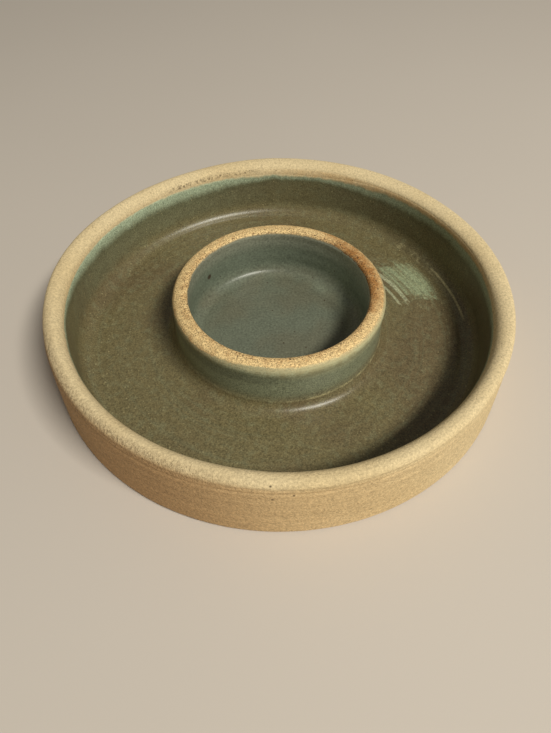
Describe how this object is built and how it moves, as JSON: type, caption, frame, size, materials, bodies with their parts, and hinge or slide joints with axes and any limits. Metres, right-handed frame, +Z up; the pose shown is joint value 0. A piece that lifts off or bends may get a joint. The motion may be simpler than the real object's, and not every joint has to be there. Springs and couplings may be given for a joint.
{
  "type": "chip and dip bowl",
  "caption": "Low round stoneware dish with a raised dip cup in its middle: bare buff rim and outside, olive glazed chip well, slate green glazed cup.",
  "frame": {"origin": "centre of the flat base, on the surface that the dish stands on", "axes": "+Z up along the axis that the dish was thrown about; +X and +Y are any two level directions"},
  "size_m": [0.2538, 0.2538, 0.0416],
  "materials": {
    "buff_clay": "bare, sandy, fired buff stoneware",
    "toasted_clay": "bare fired stoneware, toasted, with iron specks",
    "dried_slip": "bare fired slip",
    "olive_glaze": "satin olive glaze, turquoise where thin",
    "slate_glaze": "satin slate green glaze"
  },
  "bodies": {
    "root": {"dish_body": "buff_clay", "cup_ring": "toasted_clay", "slip_bed": "dried_slip", "outer_cove_coil": "toasted_clay", "inner_cove_coil": "toasted_clay", "well_glaze": "olive_glaze", "dip_glaze": "slate_glaze"}
  },
  "joints": []
}
